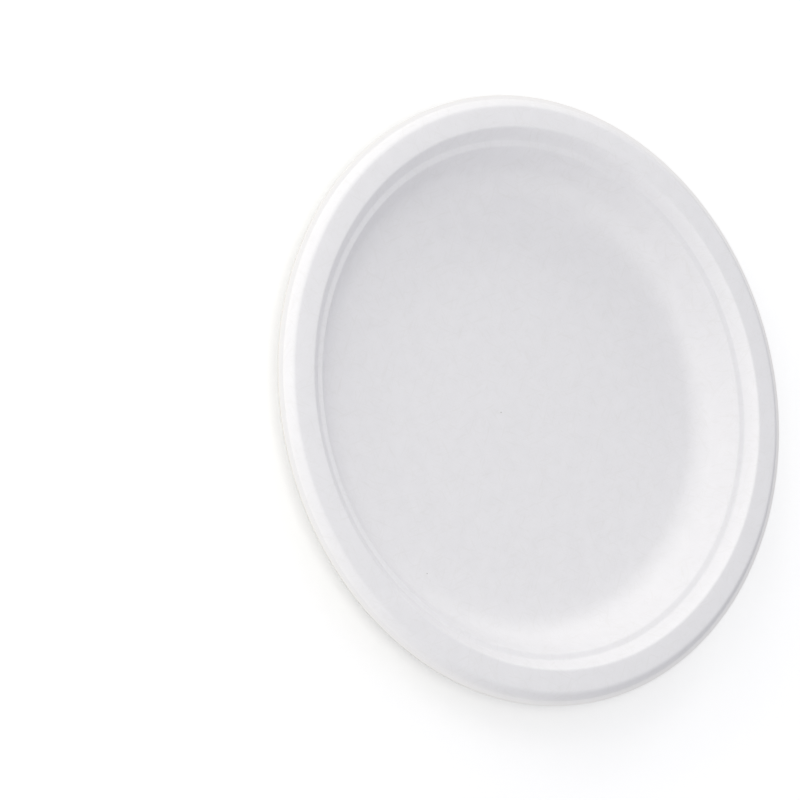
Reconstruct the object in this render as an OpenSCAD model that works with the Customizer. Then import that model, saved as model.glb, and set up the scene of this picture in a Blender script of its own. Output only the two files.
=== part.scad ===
// Round plate pressed from one sheet of sugar-cane pulp.
// The sheet has the same thickness all over. Its upper face follows one profile, from the
// flat base up the bowl wall, over a narrow ledge and a step to the flat flange, and down
// over the rounded shoulder to the trimmed lip. The underside runs parallel below it.
// The origin is the centre of the base's underside, and +Z points up.

/* [Plate] */
// Outside diameter, at the trimmed edge
plate_d = 229; // [200:1:260]
// Height from the table to the top of the flange
plate_h = 20; // [16:0.5:26]
// Thickness of the pressed pulp
pulp_t = 0.6; // [0.4:0.05:0.8]

/* [Rim] */
// Width of the lip outside the shoulder, out to the trimmed edge
lip_w = 1.8; // [1.2:0.1:4]
// How far the lip falls on its way out to the trimmed edge
lip_fall = 0.4; // [0.1:0.1:1]
// How far the shoulder slopes outward on its way down to the lip
shoulder_run = 2.7; // [1:0.1:3.6]
// How far the shoulder takes the lip below the flange
shoulder_drop = 2.7; // [2:0.1:3.6]
// Width of the flange, between the corners of the step and the shoulder
flange_w = 8.6; // [6:0.2:14]
// How far the step slopes inward on its way down to the ledge
step_run = 3.8; // [3:0.1:6]
// How far the foot of the step lies below the flange
step_drop = 4.4; // [3.5:0.1:6]
// Width of the ledge, between the corners of the wall and the step
ledge_w = 2.4; // [1.8:0.1:4]
// How far the ledge rises on its way out to the step
ledge_rise = 0.5; // [0.1:0.1:1]

/* [Bowl] */
// Slope of the wall, in degrees from the table
wall_slope = 61; // [50:1:68]
// Radius of the curve from the base into the wall
bowl_r = 11.5; // [6:0.5:16]

/* [Corner radii of the upper face] */
// Edge where the wall turns onto the ledge
ledge_edge_r = 1.4; // [0.9:0.1:2]
// Corner where the ledge meets the step
step_foot_r = 1.2; // [0.4:0.1:2]
// Edge where the step turns onto the flange
step_edge_r = 1.5; // [0.9:0.1:3]
// Shoulder where the flange turns down
shoulder_r = 2.4; // [1:0.1:4]
// Corner where the shoulder meets the lip
lip_corner_r = 0.4; // [0.3:0.1:1.2]

/* [Hidden] */
// Facets round the plate
$fn = 240;
// Largest turn between two points of a rounded corner, in degrees
corner_step = 5;
// Warm white of the pulp
pulp_colour = "#ECECE8";

// Heights of the upper face
base_z = pulp_t;
step_foot_z = plate_h - step_drop;
wall_top_z = step_foot_z - ledge_rise;
lip_z = plate_h - shoulder_drop;
trim_z = lip_z - lip_fall;

// Radii of the profile's corners, from the trimmed edge inward
trim_x = plate_d / 2;
lip_x = trim_x - lip_w;
shoulder_x = lip_x - shoulder_run;
step_top_x = shoulder_x - flange_w;
step_foot_x = step_top_x - step_run;
wall_top_x = step_foot_x - ledge_w;
wall_foot_x = wall_top_x - (wall_top_z - base_z) / tan(wall_slope);

// Corners of the upper face, from the centre outward: radius, height and corner radius
corners = [
    [0, base_z, 0],
    [wall_foot_x, base_z, bowl_r],
    [wall_top_x, wall_top_z, ledge_edge_r],
    [step_foot_x, step_foot_z, step_foot_r],
    [step_top_x, plate_h, step_edge_r],
    [shoulder_x, plate_h, shoulder_r],
    [lip_x, lip_z, lip_corner_r],
    [trim_x, trim_z, 0]
];
last = len(corners) - 1;

// Radius and height of one corner
function place(k) = [corners[k][0], corners[k][1]];

// Length and unit direction of the straight stretch that leaves corner k
function reach(k) = norm(place(k + 1) - place(k));
function heading(k) = (place(k + 1) - place(k)) / reach(k);

// A direction turned by an angle, counterclockwise
function turned(v, angle) =
    [v[0] * cos(angle) - v[1] * sin(angle), v[0] * sin(angle) + v[1] * cos(angle)];

// Upright side of a direction: the pulp's outward face when the profile runs outward
function upright(v) = [-v[1], v[0]];

// Signed bend of the profile at corner k, positive where it turns upward
function bend(k) = asin(cross(heading(k - 1), heading(k)));

// Length that the rounding of corner k takes off both stretches
function taken(k) = (k == 0 || k == last) ? 0 : corners[k][2] * tan(abs(bend(k)) / 2);

// Share of its radius that corner k keeps where a stretch is too short for both its ends
function kept(k) =
    min(1, reach(k - 1) / (taken(k - 1) + taken(k)), reach(k) / (taken(k) + taken(k + 1)));

// Points of the rounded corner k, each with the direction of the profile there
function rounded(k) =
    let (
        angle = bend(k),
        side = sign(angle),
        radius = corners[k][2] * kept(k),
        start = place(k) - radius * tan(abs(angle) / 2) * heading(k - 1),
        centre = start + side * radius * upright(heading(k - 1)),
        steps = ceil(abs(angle) / corner_step)
    )
    [for (i = [0 : steps])
        let (v = turned(heading(k - 1), angle * i / steps))
        [centre - side * radius * upright(v), v]];

// The upper face from the axis to the lip, and the trimmed edge, which is cut plumb
face = concat([[place(0), [1, 0]]], [for (k = [1 : last - 1]) each rounded(k)]);
trim_height = pulp_t / heading(last - 1)[0];
upper = concat([for (p = face) p[0]], [place(last)]);
lower = concat([for (p = face) p[0] - pulp_t * upright(p[1])], [place(last) - [0, trim_height]]);

// Half section of the sheet: the upper face out to the edge and the underside back in
module section() {
    polygon(concat(upper, [for (i = [len(lower) - 1 : -1 : 0]) lower[i]]));
}

// The plate, turned about its own axis
module plate() {
    color(pulp_colour) rotate_extrude() section();
}

plate();
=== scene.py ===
import math

import bpy
from mathutils import Matrix, Vector

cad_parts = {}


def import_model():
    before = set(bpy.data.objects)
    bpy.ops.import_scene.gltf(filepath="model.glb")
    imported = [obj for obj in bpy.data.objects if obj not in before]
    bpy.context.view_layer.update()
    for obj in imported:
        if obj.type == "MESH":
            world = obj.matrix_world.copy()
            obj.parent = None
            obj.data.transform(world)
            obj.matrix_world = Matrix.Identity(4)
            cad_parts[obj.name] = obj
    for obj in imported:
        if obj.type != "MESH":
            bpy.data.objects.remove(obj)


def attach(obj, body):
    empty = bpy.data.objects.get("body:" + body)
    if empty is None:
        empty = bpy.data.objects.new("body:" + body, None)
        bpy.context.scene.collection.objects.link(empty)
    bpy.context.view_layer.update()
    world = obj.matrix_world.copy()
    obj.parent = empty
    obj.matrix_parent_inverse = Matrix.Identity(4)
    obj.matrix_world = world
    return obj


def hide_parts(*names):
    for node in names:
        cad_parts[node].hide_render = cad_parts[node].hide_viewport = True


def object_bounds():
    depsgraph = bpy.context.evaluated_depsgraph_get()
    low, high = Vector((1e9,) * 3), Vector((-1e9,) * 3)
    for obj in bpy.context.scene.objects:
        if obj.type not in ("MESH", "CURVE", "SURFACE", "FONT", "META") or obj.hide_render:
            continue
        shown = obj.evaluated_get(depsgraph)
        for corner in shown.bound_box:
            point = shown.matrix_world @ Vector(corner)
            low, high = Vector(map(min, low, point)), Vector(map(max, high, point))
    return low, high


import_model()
cad_low, cad_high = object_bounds()

MM = 0.001

# Sizes of the plate, as the part has them
TRIM_RADIUS = max(cad_high.x, cad_high.y)
PLATE_HEIGHT = cad_high.z
PULP_THICKNESS = 0.6 * MM
LIP_WIDTH = 1.8 * MM
LIP_FALL = 0.4 * MM
SHOULDER_RUN = 2.7 * MM
SHOULDER_DROP = 2.7 * MM
FLANGE_WIDTH = 8.6 * MM
STEP_RUN = 3.8 * MM
STEP_DROP = 4.4 * MM
LEDGE_WIDTH = 2.4 * MM
LEDGE_RISE = 0.5 * MM
WALL_SLOPE = math.radians(61)

# Corner radii of the upper face
BOWL_RADIUS = 11.5 * MM
LEDGE_EDGE_RADIUS = 1.4 * MM
STEP_FOOT_RADIUS = 1.2 * MM
STEP_EDGE_RADIUS = 1.5 * MM
SHOULDER_RADIUS = 2.4 * MM
LIP_CORNER_RADIUS = 0.4 * MM

# The trimming knife rounds the cut edge a little
TRIM_EDGE_RADIUS = 0.12 * MM

# How finely the plate's mesh is made
SEGMENTS = 480
LONGEST_STRETCH = 3.2 * MM
STEP_ANGLE = math.radians(7.5)
LEAST_STEPS = 3
MERGE_DISTANCE = 0.002 * MM

# Faces whose normal rises or falls less than this belong to the cut edge
CUT_EDGE_RISE = 0.3

# Unevenness of a pressed sheet
WARP = 0.16 * MM
WARP_SIZE = 75 * MM
RELIEF = 0.025 * MM
RELIEF_SIZE = 7 * MM
TRIM_WOBBLE = 0.12 * MM
TRIM_WOBBLE_SIZE = 4 * MM

# Dark specks in the food side: x, y and width. Each is full dark out to the core share of
# its width and gone at the edge share.
SPECKS = [
    (2.0 * MM, -9.3 * MM, 0.42 * MM),
    (52.4 * MM, -59.0 * MM, 0.36 * MM),
]
SPECK_CORE = 0.35
SPECK_EDGE = 0.55

# Grain of the pulp. Real fibres are 0.02 to 0.05 mm wide, too fine to show in the render,
# so they are drawn as bundles about a quarter of a millimetre wide.
FIBRE_LENGTH = 14.0 * MM
FIBRE_SPACING = 1.5 * MM
FIBRE_WANDER = 2.0 * MM
FIBRE_BEND = 12.0 * MM
FIBRE_DIRECTIONS = (12, 57, 98, 144)
CLOUD_SIZE = 6.0 * MM
GRAIN_SIZE = 0.6 * MM

# A fibre is drawn where its noise is this close to the middle, and stops where a coarser
# noise, whose size is a share of the fibre's own, falls from the high level to the low one
FIBRE_LINE = 0.035
FIBRE_STOP_LOW = 0.5
FIBRE_STOP_HIGH = 0.62
FIBRE_STOP_SIZE = 0.8

# Strength of the fibres' tint on either side, and of the creamy tone at the trimmed edge,
# which fades out over this width. That tone is part the pulp's own colour and part a painted
# reflection of warm surroundings.
FOOD_SIDE_WEB = 0.22
SCREEN_SIDE_WEB = 0.55
LIP_CREAM_AND_REFLECTION = 0.8
LIP_CREAM_AND_REFLECTION_WIDTH = 1.5 * LIP_WIDTH

# Heights of the relief: food side, screen side and cut edge
FIBRE_RELIEF = 0.004 * MM
GRAIN_RELIEF = 0.004 * MM
CLOUD_RELIEF = 4 * FIBRE_RELIEF
SCREEN_FIBRE_RELIEF = 5 * FIBRE_RELIEF
SCREEN_GRAIN_RELIEF = 4 * GRAIN_RELIEF
CUT_EDGE_RELIEF = 8 * GRAIN_RELIEF

# Wire cloth that the wet pulp was formed on: a real one has a wire every 0.4 mm, too fine
# to show, so its print is drawn with a wire every 1.1 mm
WIRE_PITCH = 1.1 * MM
WIRE_RELIEF = 0.03 * MM

# The camera, as the photograph was taken
CAMERA_DISTANCE = 967 * MM
CAMERA_ELEVATION = math.radians(52.67)
CAMERA_ROLL = math.radians(75.23)
CAMERA_LENS = 117.0
AIM_X = -11.0 * MM
AIM_Y = -63.5 * MM

# Soft square lamps: name, azimuth and elevation in degrees, side in metres and watts.
# They follow the light on the photographed plate, mostly from the camera's upper left.
LAMP_DISTANCE = 1.5
WIDE = 0.5
NARROW = 0.06
LAMPS = [
    ("key", 225, 15, WIDE, 2.3),
    ("high_key", 225, 35, WIDE, 1.55),
    ("upper_key", 180, 15, WIDE, 3.1),
    ("far_key", 135, 15, WIDE, 3.35),
    ("near_fill", 315, 15, WIDE, 1.0),
    ("low", 270, 1, NARROW, 3.45),
    ("upper_low", 180, 1, NARROW, 1.85),
    ("front", 270, 60, WIDE, 5.85),
]


def add(tree, kind, inputs=None, **settings):
    """Adds a node. inputs maps an input's name or number to a value, a node or a socket."""
    node = tree.nodes.new(kind)
    for name, value in settings.items():
        setattr(node, name, value)
    for key, value in (inputs or {}).items():
        if isinstance(value, bpy.types.Node):
            value = value.outputs[0]
        if isinstance(value, bpy.types.NodeSocket):
            tree.links.new(value, node.inputs[key])
        else:
            node.inputs[key].default_value = value
    return node


def linear(hex_colour):
    """An sRGB hex colour as linear RGBA."""
    channels = [int(hex_colour[i:i + 2], 16) / 255 for i in (1, 3, 5)]
    return [c / 12.92 if c <= 0.04045 else ((c + 0.055) / 1.055) ** 2.4 for c in channels] + [1]


def upper_corners():
    """Corners of the upper face, from the axis outward: place and corner radius."""
    ledge_z = PLATE_HEIGHT - STEP_DROP
    lip_z = PLATE_HEIGHT - SHOULDER_DROP
    lip_x = TRIM_RADIUS - LIP_WIDTH
    shoulder_x = lip_x - SHOULDER_RUN
    step_top_x = shoulder_x - FLANGE_WIDTH
    step_foot_x = step_top_x - STEP_RUN
    wall_top_x = step_foot_x - LEDGE_WIDTH
    wall_top_z = ledge_z - LEDGE_RISE
    wall_foot_x = wall_top_x - (wall_top_z - PULP_THICKNESS) / math.tan(WALL_SLOPE)
    return [
        (Vector((0, PULP_THICKNESS)), 0),
        (Vector((wall_foot_x, PULP_THICKNESS)), BOWL_RADIUS),
        (Vector((wall_top_x, wall_top_z)), LEDGE_EDGE_RADIUS),
        (Vector((step_foot_x, ledge_z)), STEP_FOOT_RADIUS),
        (Vector((step_top_x, PLATE_HEIGHT)), STEP_EDGE_RADIUS),
        (Vector((shoulder_x, PLATE_HEIGHT)), SHOULDER_RADIUS),
        (Vector((lip_x, lip_z)), LIP_CORNER_RADIUS),
        (Vector((TRIM_RADIUS, lip_z - LIP_FALL)), TRIM_EDGE_RADIUS),
    ]


def under_corners(upper):
    """Corners of the underside, one sheet thickness below the upper face."""
    corners = [(upper[0][0] - Vector((0, PULP_THICKNESS)), 0)]
    for (before, _), (corner, radius), (after, _) in zip(upper, upper[1:], upper[2:]):
        inward = (corner - before).normalized()
        outward = (after - corner).normalized()
        miter = (inward + outward).normalized().orthogonal()
        half_bend = inward.angle(outward) / 2
        side = 1 if inward.cross(outward) > 0 else -1
        place = corner - miter * PULP_THICKNESS / math.cos(half_bend)
        corners.append((place, radius + side * PULP_THICKNESS))
    lip = upper[-1][0] - upper[-2][0]
    trim_height = PULP_THICKNESS * lip.length / lip.x
    corners.append((upper[-1][0] - Vector((0, trim_height)), TRIM_EDGE_RADIUS))
    return corners


def section_mesh():
    """The half section's corners as a string of edges, over the upper face and back below."""
    upper = upper_corners()
    corners = upper + under_corners(upper)[::-1]
    mesh = bpy.data.meshes.new("section")
    links = [(i, i + 1) for i in range(len(corners) - 1)]
    mesh.from_pydata([(place.x, 0, place.y) for place, _ in corners], links, [])
    radii = mesh.attributes.new("corner_radius", "FLOAT", "POINT")
    steps = mesh.attributes.new("corner_steps", "INT", "POINT")
    for i in range(1, len(corners) - 1):
        place = corners[i][0]
        bend = (place - corners[i - 1][0]).angle(corners[i + 1][0] - place)
        radii.data[i].value = corners[i][1]
        steps.data[i].value = max(LEAST_STEPS, math.ceil(bend / STEP_ANGLE))
    return mesh


def pressing_tree():
    """Geometry Nodes: the section is rounded, turned into the plate and made uneven."""
    tree = bpy.data.node_groups.new("pressed_sheet", "GeometryNodeTree")
    tree.interface.new_socket("Geometry", in_out="OUTPUT", socket_type="NodeSocketGeometry")
    tree.interface.new_socket("Geometry", in_out="INPUT", socket_type="NodeSocketGeometry")
    for name, kind in [
        ("Segments", "NodeSocketInt"),
        ("Longest Stretch", "NodeSocketFloat"),
        ("Plate Height", "NodeSocketFloat"),
        ("Trim Radius", "NodeSocketFloat"),
        ("Warp", "NodeSocketFloat"),
        ("Warp Size", "NodeSocketFloat"),
        ("Relief", "NodeSocketFloat"),
        ("Relief Size", "NodeSocketFloat"),
        ("Trim Wobble", "NodeSocketFloat"),
        ("Trim Wobble Size", "NodeSocketFloat"),
        ("Food Side", "NodeSocketMaterial"),
        ("Underside", "NodeSocketMaterial"),
        ("Cut Edge", "NodeSocketMaterial"),
    ]:
        tree.interface.new_socket(name, in_out="INPUT", socket_type=kind)
    given = add(tree, "NodeGroupInput").outputs

    # Section: every corner rounded, long stretches divided
    line = add(tree, "GeometryNodeMeshToCurve", {"Mesh": given["Geometry"]})
    radius = add(tree, "GeometryNodeInputNamedAttribute", {"Name": "corner_radius"}, data_type="FLOAT")
    steps = add(tree, "GeometryNodeInputNamedAttribute", {"Name": "corner_steps"}, data_type="INT")
    rounded = add(tree, "GeometryNodeFilletCurve",
                  {"Curve": line, "Radius": radius, "Count": steps, "Limit Radius": True}, mode="POLY")
    here = add(tree, "GeometryNodeInputPosition")
    index = add(tree, "GeometryNodeInputIndex")
    after = add(tree, "ShaderNodeMath", {0: index, 1: 1.0}, operation="ADD")
    there = add(tree, "GeometryNodeFieldAtIndex", {"Value": here, "Index": after},
                data_type="FLOAT_VECTOR", domain="POINT")
    stretch = add(tree, "ShaderNodeVectorMath", {0: here, 1: there}, operation="DISTANCE")
    cuts = add(tree, "ShaderNodeMath", {0: stretch.outputs["Value"], 1: given["Longest Stretch"]},
               operation="DIVIDE")
    section = add(tree, "GeometryNodeSubdivideCurve", {"Curve": rounded, "Cuts": cuts})

    # Turning: one column of the grid for each copy of the section
    count = add(tree, "GeometryNodeAttributeDomainSize", {"Geometry": section}, component="CURVE")
    rows = count.outputs["Point Count"]
    columns = add(tree, "ShaderNodeMath", {0: given["Segments"], 1: 1.0}, operation="ADD")
    grid = add(tree, "GeometryNodeMeshGrid", {"Vertices X": columns, "Vertices Y": rows})
    row = add(tree, "ShaderNodeMath", {0: index, 1: rows}, operation="MODULO")
    share = add(tree, "ShaderNodeMath", {0: index, 1: rows}, operation="DIVIDE")
    column = add(tree, "ShaderNodeMath", {0: share}, operation="FLOOR")
    turn = add(tree, "ShaderNodeMath", {0: column, 1: given["Segments"]}, operation="DIVIDE")
    angle = add(tree, "ShaderNodeMath", {0: turn, 1: math.tau}, operation="MULTIPLY")
    point = add(tree, "GeometryNodeSampleIndex",
                {"Geometry": section, "Value": here, "Index": row},
                data_type="FLOAT_VECTOR", domain="POINT")
    turned = add(tree, "ShaderNodeVectorRotate", {"Vector": point, "Angle": angle},
                 rotation_type="Z_AXIS")
    shell = add(tree, "GeometryNodeSetPosition", {"Geometry": grid, "Position": turned})
    merged = add(tree, "GeometryNodeMergeByDistance",
                 {"Geometry": shell, "Distance": MERGE_DISTANCE})
    closed = add(tree, "GeometryNodeFlipFaces", {"Mesh": merged})

    # Warp: the rim dips in places, the base stays flat
    split = add(tree, "ShaderNodeSeparateXYZ", {0: here})
    plan = add(tree, "ShaderNodeCombineXYZ", {"X": split.outputs["X"], "Y": split.outputs["Y"]})
    warp_scale = add(tree, "ShaderNodeMath", {0: 1.0, 1: given["Warp Size"]}, operation="DIVIDE")
    warp_noise = add(tree, "ShaderNodeTexNoise", {"Vector": plan, "Scale": warp_scale, "Detail": 1.0},
                     noise_dimensions="3D")
    lift = add(tree, "ShaderNodeMath", {0: split.outputs["Z"], 1: given["Plate Height"]},
               operation="DIVIDE")
    dip = add(tree, "ShaderNodeMath", {0: lift, 1: warp_noise.outputs[0]}, operation="MULTIPLY")
    fall = add(tree, "ShaderNodeMath", {0: dip, 1: given["Warp"]}, operation="MULTIPLY")
    down = add(tree, "ShaderNodeMath", {0: fall, 1: -1.0}, operation="MULTIPLY")
    drop = add(tree, "ShaderNodeCombineXYZ", {"Z": down})
    warped = add(tree, "GeometryNodeSetPosition", {"Geometry": closed, "Offset": drop})

    # Trimmed edge: the knife line wanders inward a little
    reach = add(tree, "ShaderNodeVectorMath", {0: plan}, operation="LENGTH")
    outside = add(tree, "ShaderNodeMath", {0: given["Trim Radius"], 1: reach.outputs["Value"]},
                  operation="SUBTRACT")
    near_trim = add(tree, "ShaderNodeMapRange",
                    {"Value": outside, "From Min": 0.0, "From Max": LIP_WIDTH,
                     "To Min": 1.0, "To Max": 0.0})
    wobble_scale = add(tree, "ShaderNodeMath", {0: 1.0, 1: given["Trim Wobble Size"]},
                       operation="DIVIDE")
    wobble_noise = add(tree, "ShaderNodeTexNoise",
                       {"Vector": plan, "Scale": wobble_scale, "Detail": 2.0}, noise_dimensions="3D")
    wobble = add(tree, "ShaderNodeMath", {0: wobble_noise.outputs[0], 1: given["Trim Wobble"]},
                 operation="MULTIPLY")
    pull = add(tree, "ShaderNodeMath", {0: wobble, 1: near_trim.outputs[0]}, operation="MULTIPLY")
    inward = add(tree, "ShaderNodeVectorMath", {0: plan}, operation="NORMALIZE")
    shift = add(tree, "ShaderNodeVectorMath", {0: inward, "Scale": pull}, operation="SCALE")
    back = add(tree, "ShaderNodeVectorMath", {0: shift, 1: (-1.0, -1.0, -1.0)}, operation="MULTIPLY")
    trimmed = add(tree, "GeometryNodeSetPosition", {"Geometry": warped, "Offset": back})

    # Relief: the faces dent inward where the fibres lie thin
    normal = add(tree, "GeometryNodeInputNormal")
    relief_scale = add(tree, "ShaderNodeMath", {0: 1.0, 1: given["Relief Size"]}, operation="DIVIDE")
    relief_noise = add(tree, "ShaderNodeTexNoise", {"Scale": relief_scale, "Detail": 2.0},
                       noise_dimensions="3D")
    dent = add(tree, "ShaderNodeMath", {0: relief_noise.outputs[0], 1: given["Relief"]},
               operation="MULTIPLY")
    sink = add(tree, "ShaderNodeMath", {0: dent, 1: -1.0}, operation="MULTIPLY")
    dented = add(tree, "ShaderNodeVectorMath", {0: normal, "Scale": sink}, operation="SCALE")
    uneven = add(tree, "GeometryNodeSetPosition", {"Geometry": trimmed, "Offset": dented})
    smooth = add(tree, "GeometryNodeSetShadeSmooth", {"Geometry": uneven})

    # Finish: food side everywhere, then the underside and the cut edge
    facing = add(tree, "ShaderNodeSeparateXYZ", {0: normal})
    below = add(tree, "ShaderNodeMath", {0: facing.outputs["Z"], 1: 0.0}, operation="LESS_THAN")
    steep = add(tree, "ShaderNodeMath", {0: facing.outputs["Z"]}, operation="ABSOLUTE")
    upright = add(tree, "ShaderNodeMath", {0: steep, 1: CUT_EDGE_RISE}, operation="LESS_THAN")
    whole = add(tree, "GeometryNodeRealizeInstances", {"Geometry": smooth})
    food = add(tree, "GeometryNodeSetMaterial", {"Geometry": whole, "Material": given["Food Side"]})
    under = add(tree, "GeometryNodeSetMaterial",
                {"Geometry": food, "Selection": below, "Material": given["Underside"]})
    cut = add(tree, "GeometryNodeSetMaterial",
              {"Geometry": under, "Selection": upright, "Material": given["Cut Edge"]})
    add(tree, "NodeGroupOutput", {"Geometry": cut})
    return tree


def new_material(name, roughness):
    """A matt material with its shader, and the place on the piece in metres."""
    material = bpy.data.materials.new(name)
    material.use_nodes = True
    tree = material.node_tree
    shader = tree.nodes["Principled BSDF"]
    shader.inputs["Roughness"].default_value = roughness
    place = add(tree, "ShaderNodeTexCoord").outputs["Object"]
    return material, tree, shader, place


def clouds(tree, place, size, detail=2.0):
    """Soft blotches of one size, from 0 to 1."""
    return add(tree, "ShaderNodeTexNoise",
               {"Vector": place, "Scale": 1 / size, "Detail": detail}, noise_dimensions="3D").outputs[0]


def wandering(tree, place):
    """The place, shifted so that straight fibres bend."""
    bend = add(tree, "ShaderNodeTexNoise", {"Vector": place, "Scale": 1 / FIBRE_BEND, "Detail": 1.0},
               noise_dimensions="3D")
    centred = add(tree, "ShaderNodeVectorMath", {0: bend.outputs["Color"], 1: (0.5, 0.5, 0.5)},
                  operation="SUBTRACT")
    shift = add(tree, "ShaderNodeVectorMath", {0: centred, "Scale": FIBRE_WANDER}, operation="SCALE")
    return add(tree, "ShaderNodeVectorMath", {0: place, 1: shift}, operation="ADD").outputs[0]


def fibres(tree, place, degrees):
    """Mask of thin fibres that lie roughly in one direction of the sheet."""
    laid = add(tree, "ShaderNodeMapping",
               {"Vector": place, "Rotation": (0, 0, math.radians(degrees)),
                "Scale": (FIBRE_LENGTH, FIBRE_SPACING, FIBRE_LENGTH)}, vector_type="TEXTURE")
    noise = add(tree, "ShaderNodeTexNoise", {"Vector": laid, "Scale": 1.0, "Detail": 1.0},
                noise_dimensions="3D")
    middle = add(tree, "ShaderNodeMath", {0: noise.outputs[0], 1: 0.5}, operation="SUBTRACT")
    away = add(tree, "ShaderNodeMath", {0: middle}, operation="ABSOLUTE")
    line = add(tree, "ShaderNodeMapRange",
               {"Value": away, "From Min": 0.0, "From Max": FIBRE_LINE,
                "To Min": 1.0, "To Max": 0.0})
    coarse = clouds(tree, laid.outputs[0], FIBRE_STOP_SIZE, detail=0.0)
    ends = add(tree, "ShaderNodeMapRange",
               {"Value": coarse, "From Min": FIBRE_STOP_LOW, "From Max": FIBRE_STOP_HIGH,
                "To Min": 0.0, "To Max": 1.0})
    return add(tree, "ShaderNodeMath", {0: line, 1: ends}, operation="MULTIPLY").outputs[0]


def fibre_web(tree, place):
    """Mask of fibres in all directions of the sheet."""
    bent = wandering(tree, place)
    web = fibres(tree, bent, FIBRE_DIRECTIONS[0])
    for degrees in FIBRE_DIRECTIONS[1:]:
        web = add(tree, "ShaderNodeMath", {0: web, 1: fibres(tree, bent, degrees)},
                  operation="MAXIMUM").outputs[0]
    return web


def tinted(tree, below, colour, share):
    """A colour laid over another one by a mask."""
    mix = add(tree, "ShaderNodeMixRGB", {"Fac": share, "Color1": below, "Color2": linear(colour)})
    return mix.outputs[0]


def weighted(tree, mask, weight):
    """A mask times a weight."""
    return add(tree, "ShaderNodeMath", {0: mask, 1: weight}, operation="MULTIPLY").outputs[0]


def raised(tree, shader, heights):
    """Bump from masks, each with its height in metres."""
    total = None
    for mask, height in heights:
        part = weighted(tree, mask, height)
        if total:
            part = add(tree, "ShaderNodeMath", {0: total, 1: part}, operation="ADD").outputs[0]
        total = part
    bump = add(tree, "ShaderNodeBump", {"Height": total, "Distance": 1.0})
    tree.links.new(bump.outputs[0], shader.inputs["Normal"])


def from_axis(tree, place):
    """The place seen in plan, and its distance from the plate's axis."""
    plan = add(tree, "ShaderNodeVectorMath", {0: place, 1: (1, 1, 0)}, operation="MULTIPLY").outputs[0]
    reach = add(tree, "ShaderNodeVectorMath", {0: plan}, operation="LENGTH").outputs["Value"]
    return plan, reach


def pressed_pulp_food_side():
    """Pulp pressed against a polished hot die: smooth and white, with faint clouds where
    the sheet is thicker, faint fibres, a creamier trimmed lip that is partly a painted
    reflection, and two dark specks."""
    material, tree, shader, place = new_material("pressed_pulp_food_side", roughness=0.6)
    cloud = clouds(tree, place, CLOUD_SIZE)
    web = fibre_web(tree, place)
    colour = tinted(tree, linear("#F0EFF1"), "#EAE9EB", cloud)
    colour = tinted(tree, colour, "#DFDDDA", weighted(tree, web, FOOD_SIDE_WEB))
    plan, reach = from_axis(tree, place)
    # Lighter, creamier lip towards the trimmed edge: part the pulp's own colour, part a painted
    # reflection of warm surroundings
    lip = add(tree, "ShaderNodeMapRange",
              {"Value": reach, "From Min": TRIM_RADIUS - LIP_CREAM_AND_REFLECTION_WIDTH, "From Max": TRIM_RADIUS,
               "To Min": 0.0, "To Max": LIP_CREAM_AND_REFLECTION}).outputs[0]
    colour = tinted(tree, colour, "#F3F1EE", lip)
    for x, y, width in SPECKS:
        away = add(tree, "ShaderNodeVectorMath", {0: plan, 1: (x, y, 0)}, operation="DISTANCE")
        dot = add(tree, "ShaderNodeMapRange",
                  {"Value": away.outputs["Value"], "From Min": SPECK_CORE * width,
                   "From Max": SPECK_EDGE * width, "To Min": 1.0, "To Max": 0.0}).outputs[0]
        colour = tinted(tree, colour, "#8B8680", dot)
    tree.links.new(colour, shader.inputs["Base Color"])
    grain = clouds(tree, place, GRAIN_SIZE)
    raised(tree, shader, [(web, FIBRE_RELIEF), (grain, GRAIN_RELIEF), (cloud, CLOUD_RELIEF)])
    return material


def pressed_pulp_screen_side():
    """Pulp dried on the wire side: matt and rougher, with the wire cloth's woven print and
    more fibres showing."""
    material, tree, shader, place = new_material("pressed_pulp_screen_side", roughness=0.85)
    cloud = clouds(tree, place, CLOUD_SIZE)
    web = fibre_web(tree, place)
    colour = tinted(tree, linear("#EEEDEB"), "#E5E3DF", cloud)
    colour = tinted(tree, colour, "#D9D5CC", weighted(tree, web, SCREEN_SIDE_WEB))
    split = add(tree, "ShaderNodeSeparateXYZ", {0: wandering(tree, place)})
    print_height = None
    for axis in ("X", "Y"):
        wave = add(tree, "ShaderNodeMath", {0: split.outputs[axis], 1: math.pi / WIRE_PITCH},
                   operation="MULTIPLY")
        wire = add(tree, "ShaderNodeMath", {0: wave}, operation="SINE")
        wire = add(tree, "ShaderNodeMath", {0: wire}, operation="ABSOLUTE").outputs[0]
        if print_height:
            wire = add(tree, "ShaderNodeMath", {0: print_height, 1: wire},
                       operation="MULTIPLY").outputs[0]
        print_height = wire
    tree.links.new(colour, shader.inputs["Base Color"])
    grain = clouds(tree, place, GRAIN_SIZE)
    raised(tree, shader, [(web, SCREEN_FIBRE_RELIEF), (grain, SCREEN_GRAIN_RELIEF),
                          (print_height, WIRE_RELIEF)])
    return material


def die_cut_pulp_edge():
    """Pulp cut by the trimming die: open fibres, rough and creamy."""
    material, tree, shader, place = new_material("die_cut_pulp_edge", roughness=0.9)
    tuft = clouds(tree, place, GRAIN_SIZE)
    tree.links.new(tinted(tree, linear("#F0EDE8"), "#E2DED6", tuft), shader.inputs["Base Color"])
    raised(tree, shader, [(tuft, CUT_EDGE_RELIEF)])
    return material


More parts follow.
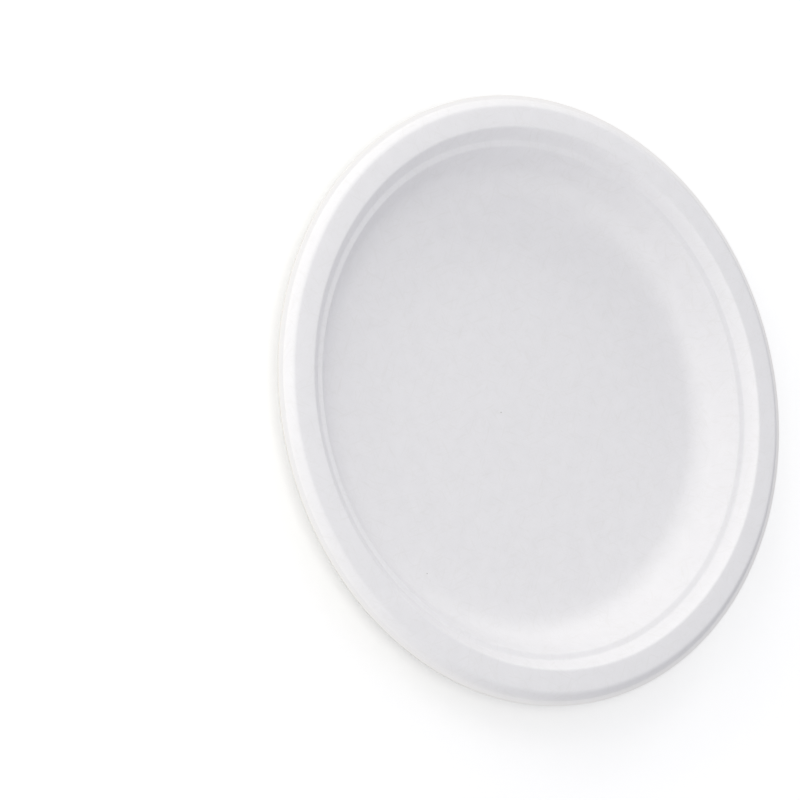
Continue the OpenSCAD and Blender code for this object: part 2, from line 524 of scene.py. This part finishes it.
def pressed_plate():
    """The plate as one closed mesh."""
    source = bpy.data.objects.new("pressed_plate_section", section_mesh())
    bpy.context.scene.collection.objects.link(source)
    modifier = source.modifiers.new("press", "NODES")
    modifier.node_group = pressing_tree()
    values = {
        "Segments": SEGMENTS,
        "Longest Stretch": LONGEST_STRETCH,
        "Plate Height": PLATE_HEIGHT,
        "Trim Radius": TRIM_RADIUS,
        "Warp": WARP,
        "Warp Size": WARP_SIZE,
        "Relief": RELIEF,
        "Relief Size": RELIEF_SIZE,
        "Trim Wobble": TRIM_WOBBLE,
        "Trim Wobble Size": TRIM_WOBBLE_SIZE,
        "Food Side": pressed_pulp_food_side(),
        "Underside": pressed_pulp_screen_side(),
        "Cut Edge": die_cut_pulp_edge(),
    }
    for socket in modifier.node_group.interface.items_tree:
        if socket.in_out == "INPUT" and socket.name in values:
            modifier[socket.identifier] = values[socket.name]
    evaluated = source.evaluated_get(bpy.context.evaluated_depsgraph_get())
    mesh = bpy.data.meshes.new_from_object(evaluated)
    # The grid came with an empty slot before the three finishes
    mesh.materials.pop(index=0)
    bpy.data.objects.remove(source)
    plate = bpy.data.objects.new("pressed_plate", mesh)
    bpy.context.scene.collection.objects.link(plate)
    return plate


def floor():
    """A plain pale floor, white to the camera. What it sends back to the plate is white
    near the plate and duller further out, where white would burn out the shoulder.
    It is clear from below and over the shortest gaps, so that light reaches the base."""
    side = 6.0
    white_radius = 130 * MM
    resting_gap = 3 * MM
    glow_strength = 0.27
    mesh = bpy.data.meshes.new("floor")
    half = side / 2
    mesh.from_pydata([(-half, -half, 0), (half, -half, 0), (half, half, 0), (-half, half, 0)],
                     [], [(0, 1, 2, 3)])
    plane = bpy.data.objects.new("floor", mesh)
    bpy.context.scene.collection.objects.link(plane)
    material = bpy.data.materials.new("white_floor")
    material.use_nodes = True
    tree = material.node_tree
    tree.nodes.clear()
    paint = add(tree, "ShaderNodeBsdfDiffuse", {"Color": linear("#F4F4F4")})
    spot = add(tree, "ShaderNodeTexCoord").outputs["Object"]
    away = add(tree, "ShaderNodeVectorMath", {0: spot}, operation="LENGTH")
    under = add(tree, "ShaderNodeMath", {0: away.outputs["Value"], 1: white_radius},
                operation="LESS_THAN")
    bounce = add(tree, "ShaderNodeBsdfDiffuse",
                 {"Color": tinted(tree, linear("#B8B8B8"), "#F4F4F4", under)})
    glow = add(tree, "ShaderNodeEmission", {"Color": (1, 1, 1, 1), "Strength": glow_strength})
    lit = add(tree, "ShaderNodeAddShader", {0: paint, 1: glow})
    path = add(tree, "ShaderNodeLightPath")
    seen = add(tree, "ShaderNodeMixShader",
               {0: path.outputs["Is Camera Ray"], 1: bounce, 2: lit})
    close = add(tree, "ShaderNodeMath", {0: path.outputs["Ray Length"], 1: resting_gap},
                operation="LESS_THAN")
    side_of = add(tree, "ShaderNodeNewGeometry")
    open_to = add(tree, "ShaderNodeMath", {0: side_of.outputs["Backfacing"], 1: close},
                  operation="MAXIMUM")
    clear = add(tree, "ShaderNodeBsdfTransparent")
    open_below = add(tree, "ShaderNodeMixShader", {0: open_to, 1: seen, 2: clear})
    add(tree, "ShaderNodeOutputMaterial", {"Surface": open_below})
    mesh.materials.append(material)


def world():
    """Even studio light, white to the camera and in the pulp's faint sheen."""
    studio = bpy.data.worlds.new("studio")
    bpy.context.scene.world = studio
    studio.use_nodes = True
    tree = studio.node_tree
    tree.nodes.clear()
    light = add(tree, "ShaderNodeBackground", {"Color": linear("#F7F8FF"), "Strength": 0.55})
    white = add(tree, "ShaderNodeBackground", {"Color": linear("#FFFFFF"), "Strength": 1.0})
    path = add(tree, "ShaderNodeLightPath")
    mirrored = add(tree, "ShaderNodeMath",
                   {0: path.outputs["Is Camera Ray"], 1: path.outputs["Is Glossy Ray"]},
                   operation="MAXIMUM")
    seen = add(tree, "ShaderNodeMixShader", {0: mirrored, 1: light, 2: white})
    add(tree, "ShaderNodeOutputWorld", {"Surface": seen})


def lamp(name, azimuth, elevation, side, watts):
    """A soft square lamp that faces the plate from a direction, in degrees."""
    light = bpy.data.lights.new(name, "AREA")
    light.size = side
    light.energy = watts
    light.color = linear("#FFFEF7")[:3]
    holder = bpy.data.objects.new(name, light)
    a, e = math.radians(azimuth), math.radians(elevation)
    towards = Vector((math.cos(a) * math.cos(e), math.sin(a) * math.cos(e), math.sin(e)))
    holder.location = towards * LAMP_DISTANCE
    holder.rotation_euler = (-towards).to_track_quat("-Z", "Y").to_euler()
    holder.visible_camera = False
    bpy.context.scene.collection.objects.link(holder)


def camera():
    """The camera at the photograph's viewing angle, rolled as it was there."""
    lip_height = PLATE_HEIGHT - SHOULDER_DROP - LIP_FALL
    lens = bpy.data.cameras.new("camera")
    lens.lens = CAMERA_LENS
    holder = bpy.data.objects.new("camera", lens)
    bpy.context.scene.collection.objects.link(holder)
    place = Vector((0, -math.cos(CAMERA_ELEVATION), math.sin(CAMERA_ELEVATION))) * CAMERA_DISTANCE
    place.z += lip_height
    aim = Vector((AIM_X, AIM_Y, lip_height))
    level = (aim - place).to_track_quat("-Z", "Y").to_matrix()
    rolled = level @ Matrix.Rotation(CAMERA_ROLL, 3, "Z")
    holder.matrix_world = Matrix.Translation(place) @ rolled.to_4x4()
    bpy.context.scene.camera = holder


plate = pressed_plate()
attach(plate, "root")
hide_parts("plate")

floor()
world()
for values in LAMPS:
    lamp(*values)
camera()
bpy.context.scene.view_settings.view_transform = "Standard"
